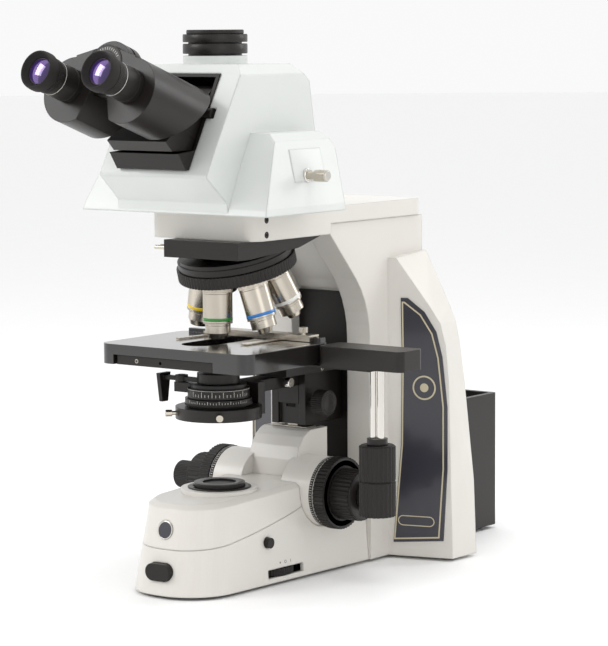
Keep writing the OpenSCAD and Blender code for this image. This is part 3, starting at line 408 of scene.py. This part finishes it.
# Turn from the objective in use in degrees, and length from seat to tip in millimetres
OBJECTIVES = {"green": (0, 50.5), "blue": (60, 51), "white": (120, 51), "yellow": (-60, 46.5),
              "red": (-120, 26)}


def ring(radius, low, high, proud=0.25):
    return [(radius - 0.3, low), (radius + proud - 0.1, low), (radius + proud, low + 0.15),
            (radius + proud, high - 0.15), (radius + proud - 0.1, high), (radius - 0.3, high),
            (radius - 0.3, low)]


for colour, (turn, length) in OBJECTIVES.items():
    place = port(math.radians(turn))
    name = "objective_" + colour
    shoulder = length - NOSE_CONE
    metal = black_paint if colour == "red" else nickel
    turned(name + "_band", ring(BARREL_R, shoulder - 5.4, shoulder - 2.4, 0.12), place, enamel[colour],
           "nosepiece")
    knurled(name + "_grip", BARREL_R + 0.35, 2.2, 7.6, 54, 0.35, place, metal, "nosepiece")
    turned(name + "_groove", ring(BARREL_R, 8.8, 9.3, 0.2), place, metal, "nosepiece")
    turned(name + "_line", ring(BARREL_R, shoulder - 1.2, shoulder - 0.7, 0.08), place, grey_ink, "nosepiece")
    turned(name + "_step", ring(BARREL_R - 2, length - 12.6, length - 12.0, 0.3), place, metal, "nosepiece")
    turned(name + "_lens", [(0, length - 0.2), (2, length - 0.3), (4.2, length - 0.9), (4.2, length - 1.3),
                            (0, length - 1.3)], place, field_glass, "nosepiece", 32)

# %% [markdown]
# ## Focus drive
# Each side has, from the column outwards: a hub with a scale strip, a ribbed ring, the coarse knob and
# the fine knob. The knobs get turned end faces, and the strips get white divisions.

# %% Knob faces and hub scales
axle = Vector(joints["coarse_spin"]["pos_m"]) / MM
HUB_R = 33
DIVISIONS = 90
for side, turn, ring_body, ring_node in (("right", Z_TO_X, "tension", "tension_ring"),
                                         ("left", Z_TO_MINUS_X, "stop", "stop_ring")):
    shaft = at(0, axle.y, axle.z) @ turn
    hub_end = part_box("focus_column")[1][0] / MM
    ring_high = max(abs(corner[0]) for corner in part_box(ring_node)) / MM
    coarse_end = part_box("coarse_knobs")[1][0] / MM
    fine_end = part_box("fine_spindle")[1][0] / MM
    turned(side + "_scale_strip", ring(HUB_R, hub_end - 4.2, hub_end - 0.4, 0.25), shaft, black_plastic,
           "stand", 96)
    marks(side + "_scale_marks", HUB_R + 0.25,
          [(360 / DIVISIONS * i, hub_end - 3.6, hub_end - (1.4 if i % 5 else 0.8)) for i in range(DIVISIONS)],
          shaft, ink, "stand")
    turned(side + "_ring_face", [(26, ring_high), (31, ring_high), (32, ring_high + 0.25),
                                 (32.6, ring_high + 0.05), (32.6, ring_high - 0.2), (26, ring_high - 0.2),
                                 (26, ring_high)], shaft,
           black_paint, ring_body)
    turned(side + "_coarse_face", [(14.2, coarse_end - 0.3), (14.2, coarse_end + 0.25),
                                   (20.5, coarse_end + 0.25), (21.6, coarse_end + 0.05),
                                   (22.4, coarse_end - 0.3)], shaft, black_paint, "coarse")
    turned(side + "_coarse_lip", ring(22.6, coarse_end - 1.9, coarse_end - 0.1, 0.7), shaft, black_plastic,
           "coarse")
    turned(side + "_fine_cap", [(0, fine_end - 0.1), (0, fine_end + 0.35), (9.2, fine_end + 0.35),
                                (10.2, fine_end + 0.2), (10.6, fine_end - 0.3), (11.4, fine_end - 0.3),
                                (12.0, fine_end + 0.3), (13.0, fine_end + 0.1), (13.3, fine_end - 0.6),
                                (12.0, fine_end - 0.9), (0, fine_end - 0.9)], shaft, black_paint, "fine")

stem = centre("y_knob") / MM
for name, body in (("x_knob", "x_drive"), ("y_knob", "y_drive")):
    low, high = (corner[2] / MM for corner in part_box(name))
    turned(name + "_foot", [(0, low - 0.3), (11.5, low - 0.3), (13.5, low), (14.6, low + 0.8),
                            (14.6, low + 1.4), (0, low + 1.4)] if name == "x_knob" else ring(15.2, low + 0.2,
                                                                                             low + 1.6, 0.7),
           at(stem.x, stem.y, 0), black_plastic, body)

# %% [markdown]
# ## Illuminator and condenser
# A thin ring lies round the field collar, and the condenser's two rings carry white scale marks.

# %% Illuminator and condenser trim
collar_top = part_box("base_cover")[1][2] / MM
turned("field_outer_ring", [(24.6, collar_top - 0.2), (24.6, collar_top + 0.8), (25.2, collar_top + 1.0),
                            (28.8, collar_top + 1.0), (29.4, collar_top + 0.7), (29.4, collar_top - 0.2),
                            (24.6, collar_top - 0.2)], at(0, 0, 0), black_paint, "stand", 96)
ring_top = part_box("field_ring")[1][2] / MM
turned("field_ring_bevel", [(15.6, ring_top - 1.2), (17.4, ring_top + 0.1), (22.2, ring_top + 0.1),
                            (23.4, ring_top - 0.6), (23.8, ring_top - 1.6), (23.5, ring_top - 1.6),
                            (15.6, ring_top - 1.2)],
       at(0, 0, 0), black_paint, "field_diaphragm", 96)
knurled("field_ring_grip", 23.95, ring_top - 3.9, ring_top - 1.7, 90, 0.3, at(0, 0, 0), black_plastic,
        "field_diaphragm")

iris_low, iris_high = (corner[2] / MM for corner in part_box("iris_ring"))
knurled("iris_grip", 31.2, iris_low + 0.2, iris_low + 2.0, 120, 0.3, at(0, 0, 0), black_plastic, "iris")
iris_spans = [(-110 + 5 * i, iris_low + 2.8, iris_low + (5.6 if i % 4 == 0 else 4.4)) for i in range(24)]
marks("iris_scale", 31.02, iris_spans, at(0, 0, 0), ink, "iris")
marks("condenser_scale", 28.62, [(-105 + 7 * i, 176.4, 181.2 if i % 3 == 0 else 179) for i in range(18)],
      at(0, 0, 0), ink, "condenser")
turned("condenser_line", ring(28.6, 182.1, 182.5, 0.05), at(0, 0, 0), ink, "condenser", 96)
knob = centre("condenser_knob") / MM
knob_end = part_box("condenser_knob")[1][0] / MM
turned("condenser_knob_face", [(0, knob_end + 0.4), (8.4, knob_end + 0.4), (9.0, knob_end + 0.1),
                               (9.6, knob_end + 0.4), (11.2, knob_end + 0.3), (12.0, knob_end - 0.3),
                               (0, knob_end - 0.3)],
       at(0, knob.y, knob.z) @ Z_TO_X, black_paint, "condenser_drive")
clamp = at(11.8, 84, 179.5) @ Z_TO_X
turned("clamp_screw", [(0, 0), (2, 0), (2, 3), (4.4, 3.2), (4.8, 3.8), (4.8, 8.2), (4.2, 8.8), (0, 8.8)],
       clamp, chrome, "condenser", 40)
turned("top_lens_glass", [(0, 202.4), (5, 202.1), (10.8, 200.8), (10.8, 199), (0, 199)], at(0, 0, 0),
       field_glass, "top_lens")

# %% [markdown]
# ## Screws
# Socket screws are turned heads round a shallow hexagonal recess, and each is found on its surface by casting
# a ray at the CAD part, so it always sits on the casting.
# The bottom of the recess is a black hexagon, painted shade for the depth of the socket.

# %% Screws and small marks on surfaces
def on_surface(node, start, direction):
    origin = Vector(start) * MM
    hit, point, normal, _ = frame["nodes"][node].ray_cast(origin, Vector(direction))
    if not hit:
        raise ValueError("no surface of " + node + " on that line")
    return along(point, normal, (0, 0, 1) if abs(normal.z) < 0.9 else (1, 0, 0))


def socket_screw(name, node, start, direction, radius, material, body):
    place = on_surface(node, start, direction)
    turned(name + "_head", [(radius * 0.55, -0.6), (radius * 0.55, 0.28), (radius * 0.86, 0.28),
                            (radius, 0.1), (radius, -0.3)], place, material, body, 36)
    # Painted shade: the socket is a black hexagon in the rubber finish, standing in for the shade deep in the
    # recess
    mesh = bmesh.new()
    bmesh.ops.create_cone(mesh, cap_ends=True, segments=6, radius1=radius * 0.56 * MM,
                          radius2=radius * 0.56 * MM, depth=0.5 * MM)
    make(name + "_painted_shade_socket", mesh, place @ at(0, 0, -0.1), rubber, body)


for index, (y, z) in enumerate(((-6, 340), (-6, 326.5))):
    socket_screw("arm_screw_%d" % index, "upper_arm", (90, y, z), (-1, 0, 0), 3.1, black_paint, "stand")
    socket_screw("arm_screw_left_%d" % index, "upper_arm", (-90, y, z), (1, 0, 0), 3.1, black_paint, "stand")
socket_screw("notch_screw", "stage_lower_plate", (-40, -90, 211.2), (0, 1, 0), 2.0, steel, "fine_stage")
for index, x in enumerate((-45, 45)):
    for z in (20, 125):
        socket_screw("lamp_screw_%d_%d" % (index, z), "lamp_house", (x, 420, z), (0, -1, 0), 2.6, steel,
                     "stand")
        socket_screw("back_screw_%d_%d" % (index, z), "arm_casting", (x, 420, z + 170), (0, -1, 0), 3.0,
                     steel, "stand")
for index, z in enumerate((190, 197)):
    socket_screw("block_screw_%d" % index, "focusing_block", (60, 120, z), (-1, 0, 0), 2.2, steel,
                 "fine_stage")

# %% [markdown]
# Three generic signs stand over the dimmer: a dot, a ring and a bar. The nose badge is blank, with a
# raised rim.

# %% Signs and the nose badge
for index, y in enumerate((24, 31.5, 39)):
    place = on_surface("base_casting", (90, y, 20.5), (-1, 0, 0))
    if index == 0:
        turned("dimmer_dot", [(0, 0.12), (0.9, 0.12), (0.95, 0), (0, 0)], place, grey_ink, "stand", 24)
    elif index == 1:
        turned("dimmer_ring", [(1.0, 0), (1.0, 0.12), (1.5, 0.12), (1.5, 0), (1.0, 0)], place, grey_ink,
               "stand", 32)
    else:
        block("dimmer_bar", (2.6, 0.7, 0.24), place, grey_ink, "stand", 0.1)
badge = on_surface("badges", (0, -150, 61), (0, 1, 0))
turned("badge_rim", [(7.4, -0.1), (7.5, 0.35), (8.0, 0.45), (8.4, 0.3), (8.5, -0.1), (7.4, -0.1)], badge,
       chrome, "stand")
turned("badge_face", [(0, 0.12), (6.6, 0.12), (7.4, 0.02), (7.4, -0.1), (0, -0.1)], badge, panel_grey,
       "stand")

# %% [markdown]
# ## Side panels
# Each dark panel has a beige line inside its edge, a round badge and a capsule-shaped one. They are laid
# out flat, in the panel's own plane, and carried to it by one frame a side.

# %% Panel trim
panel_low, panel_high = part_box("side_panels")
PANEL_LINE = [(66, 18.8), (110.8, 22.5), (115.2, 90), (115.2, 150), (110.2, 197.3), (104.2, 220.5),
              (92.8, 238.6), (77, 250.4), (74.2, 250.4), (74.8, 200), (73.8, 112)]


def panel_frame(side):
    hit = on_surface("side_panels", (side * 95, 100, 120), (0, 1, 0))
    normal = hit.to_3x3() @ Vector((0, 0, 1))
    return along(hit.translation, normal, (1, 0, 0))


def flat_strip(name, points, width, height, place, material):
    """A strip that follows the inside of an outline, standing a little proud of its plane."""
    mesh = bmesh.new()
    mesh.faces.new([mesh.verts.new((x * MM, y * MM, 0)) for x, y in points])
    mesh.normal_update()
    bmesh.ops.inset_region(mesh, faces=mesh.faces[:], thickness=width * MM, use_even_offset=True,
                           use_boundary=True)
    middle_face = max(mesh.faces, key=lambda f: f.calc_area())
    bmesh.ops.delete(mesh, geom=[middle_face], context="FACES_ONLY")
    solid = bmesh.ops.extrude_face_region(mesh, geom=mesh.faces[:])
    lifted = [g for g in solid["geom"] if isinstance(g, bmesh.types.BMVert)]
    bmesh.ops.translate(mesh, verts=lifted, vec=(0, 0, height * MM))
    return make(name, mesh, place, material, "stand")


def rounded(cx, cy, half_width, half_height, steps=8):
    """A capsule outline."""
    points = []
    for end in (1, -1):
        for i in range(steps + 1):
            angle = math.radians(-90 + 180 * i / steps) + (0 if end > 0 else math.pi)
            points.append((cx + end * (half_width - half_height) + half_height * math.cos(angle),
                           cy + half_height * math.sin(angle)))
    return points


for side in (1, -1):
    word = "right" if side > 0 else "left"
    place = panel_frame(side)
    shear = abs((place.to_3x3() @ Vector((1, 0, 0))).x)
    middle = place.translation / MM

    def flat(points):
        return [((side * x - middle.x) / shear, z - middle.z) for x, z in points]

    upright = place
    if (place.to_3x3() @ Vector((0, 1, 0))).z <= 0:
        upright = place @ Matrix.Rotation(math.pi, 4, "X")
    points = flat(PANEL_LINE) if side > 0 else flat(PANEL_LINE)[::-1]
    flat_strip(word + "_panel_line", points, 1.4, 0.3, upright, beige)
    capsule = flat(rounded(88, 38, 18, 5))
    flat_strip(word + "_capsule", capsule if side > 0 else capsule[::-1], 0.9, 0.3, upright, beige)
    disc = flat([(96, 168)])[0]
    spot = upright @ at(disc[0], disc[1], 0)
    turned(word + "_round_badge", [(10.2, 0), (10.3, 0.4), (11.6, 0.4), (11.8, 0), (10.2, 0)], spot, beige,
           "stand")
    turned(word + "_badge_core", [(0, 0.35), (4.0, 0.35), (4.3, 0), (0, 0)], spot, beige, "stand", 40)

# %% [markdown]
# ## Head
# The right shoulder has a square plate let in round the beam splitter rod, with a polished bush.

# %% Beam splitter plate
rod = centre("splitter_rod") / MM
plate = on_surface("head_housing", (140, 9, rod.z + 9), (-1, 0, 0))
tilt = plate.to_3x3() @ Vector((0, 0, 1))
frame_at = along(plate.translation, tilt, (0, 1, 0))
block("splitter_plate", (46, 30, 1.6), frame_at, head_paint, "stand", 0.5)
low_spot = on_surface("head_housing", (140, rod.y + 8, rod.z), (-1, 0, 0)).translation
bush = at(low_spot.x / MM, rod.y, rod.z) @ Z_TO_X
turned("splitter_bush", [(3.75, -1.5), (3.75, 3.0), (5.6, 3.0), (6.4, 2.4), (6.4, -1.5), (3.75, -1.5)], bush,
       chrome, "stand", 48)
rod_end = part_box("splitter_rod")[1][0] / MM
turned("splitter_knob", [(0, 0.3), (4.2, 0.3), (5.3, -0.6), (5.45, -2), (5.45, -9.5), (5.2, -10), (3.8, -10)],
       at(rod_end, rod.y, rod.z) @ Z_TO_X, chrome, "splitter", 48)

# %% [markdown]
# The camera port's two rings are turned as smooth bands, with a shallow chamfer under the cap.

# %% Camera port
port_low, port_high = (corner[2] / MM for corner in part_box("camera_port"))
for index, (low, high) in enumerate(((port_low + 2.0, port_low + 10.6), (port_low + 12.4, port_high - 0.2))):
    turned("port_ring_%d" % index, [(29.25, low), (29.55, low + 0.5), (29.55, high - 0.8),
                                    (29.0, high + 0.05), (28.4, high + 0.1), (28.4, low)], at(0, 0, 0),
                                    black_paint, "stand", 96)
cap_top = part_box("port_cap")[1][2] / MM
cap_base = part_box("camera_port")[1][2] / MM
cap = turned("ridged_port_cap", [(0, cap_top), (22.5, cap_top), (23.4, cap_top - 0.5), (24.4, cap_top - 0.5),
                                 (25.2, cap_top), (25.9, cap_top - 0.3), (26.2, cap_top - 1),
                                 (26.2, cap_base + 0.5), (25.7, cap_base), (0, cap_base)], at(0, 0, 0),
                                 black_plastic, "stand", 96)
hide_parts("port_cap")

# %% [markdown]
# ## Stage
# Scales run along the specimen holder and beside the drive box, and the two tubes to the knobs are
# polished.

# %% Stage scales and tubes
holder_low, holder_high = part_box("specimen_holder")
bar_top = holder_low[2] / MM + 5.8
mesh = bmesh.new()
for i in range(41):
    size = Matrix.Diagonal((0.3 * MM, (3.2 if i % 5 == 0 else 1.8) * MM, 0.12 * MM, 1))
    bmesh.ops.create_cube(mesh, size=1, matrix=at(-30 + 2 * i, 46, bar_top) @ size)
make("holder_scale", mesh, Matrix.Identity(4), grey_ink, "x_slide")
mesh = bmesh.new()
for i in range(21):
    size = Matrix.Diagonal(((2.8 if i % 5 == 0 else 1.6) * MM, 0.3 * MM, 0.12 * MM, 1))
    bmesh.ops.create_cube(mesh, size=1, matrix=at(86.5, -20 + 2 * i,
                                                  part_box("stage_lower_plate")[1][2] / MM + 9.8) @ size)
make("stage_scale", mesh, Matrix.Identity(4), ink, "y_stage")
tube_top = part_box("stage_lower_plate")[0][2] / MM - 2
tube_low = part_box("y_knob")[1][2] / MM + 1.4
for index, x in enumerate((-3.8, 3.8)):
    turned("drive_tube_%d" % index, [(2.9, tube_low), (3.12, tube_low + 0.3), (3.12, tube_top - 0.3),
                                     (2.9, tube_top)],
           at(stem.x + x, stem.y, 0), chrome, "fine_stage", 40)

# %% [markdown]
# ## Floor, sky and lights
# The object stands on a pale floor in soft light: a big key from the user's left, a fill from the right
# and a strip behind that draws the rims.

# %% Stage and lights
mesh = bmesh.new()
bmesh.ops.create_grid(mesh, x_segments=1, y_segments=1, size=60)
data = bpy.data.meshes.new("floor")
mesh.to_mesh(data)
mesh.free()
floor = bpy.data.objects.new("floor", data)
bpy.context.collection.objects.link(floor)
data.materials.append(finish("pale_floor", "#FBFBFB", "#F8F8F8", 0.6, 0.02, grain=0.0))

world = bpy.data.worlds.new("sky")
bpy.context.scene.world = world
world.use_nodes = True
world.node_tree.nodes["Background"].inputs["Color"].default_value = linear("#FFFFFF")
world.node_tree.nodes["Background"].inputs["Strength"].default_value = 0.95


def area_light(name, place, target, size, power, colour="#FFFFFF"):
    data = bpy.data.lights.new(name, "AREA")
    data.shape = "RECTANGLE"
    data.size, data.size_y = size
    data.energy = power
    data.color = linear(colour)[:3]
    light = bpy.data.objects.new(name, data)
    bpy.context.collection.objects.link(light)
    look = Vector(target) - Vector(place)
    light.matrix_world = Matrix.Translation(place) @ look.to_track_quat("-Z", "Y").to_matrix().to_4x4()


area_light("key", (-1.3, -1.5, 1.5), (0, 0, 0.25), (1.0, 1.0), 17)
area_light("fill", (1.8, -0.9, 0.9), (0, 0.1, 0.25), (1.0, 1.4), 4)
area_light("top", (0.1, 0.2, 1.6), (0, 0, 0.2), (1.2, 0.8), 7)
area_light("rim", (0.9, 1.5, 1.1), (0, 0.1, 0.3), (0.5, 1.2), 6)

scene = bpy.context.scene
scene.view_settings.view_transform = "Standard"
scene.cycles.use_denoising = True
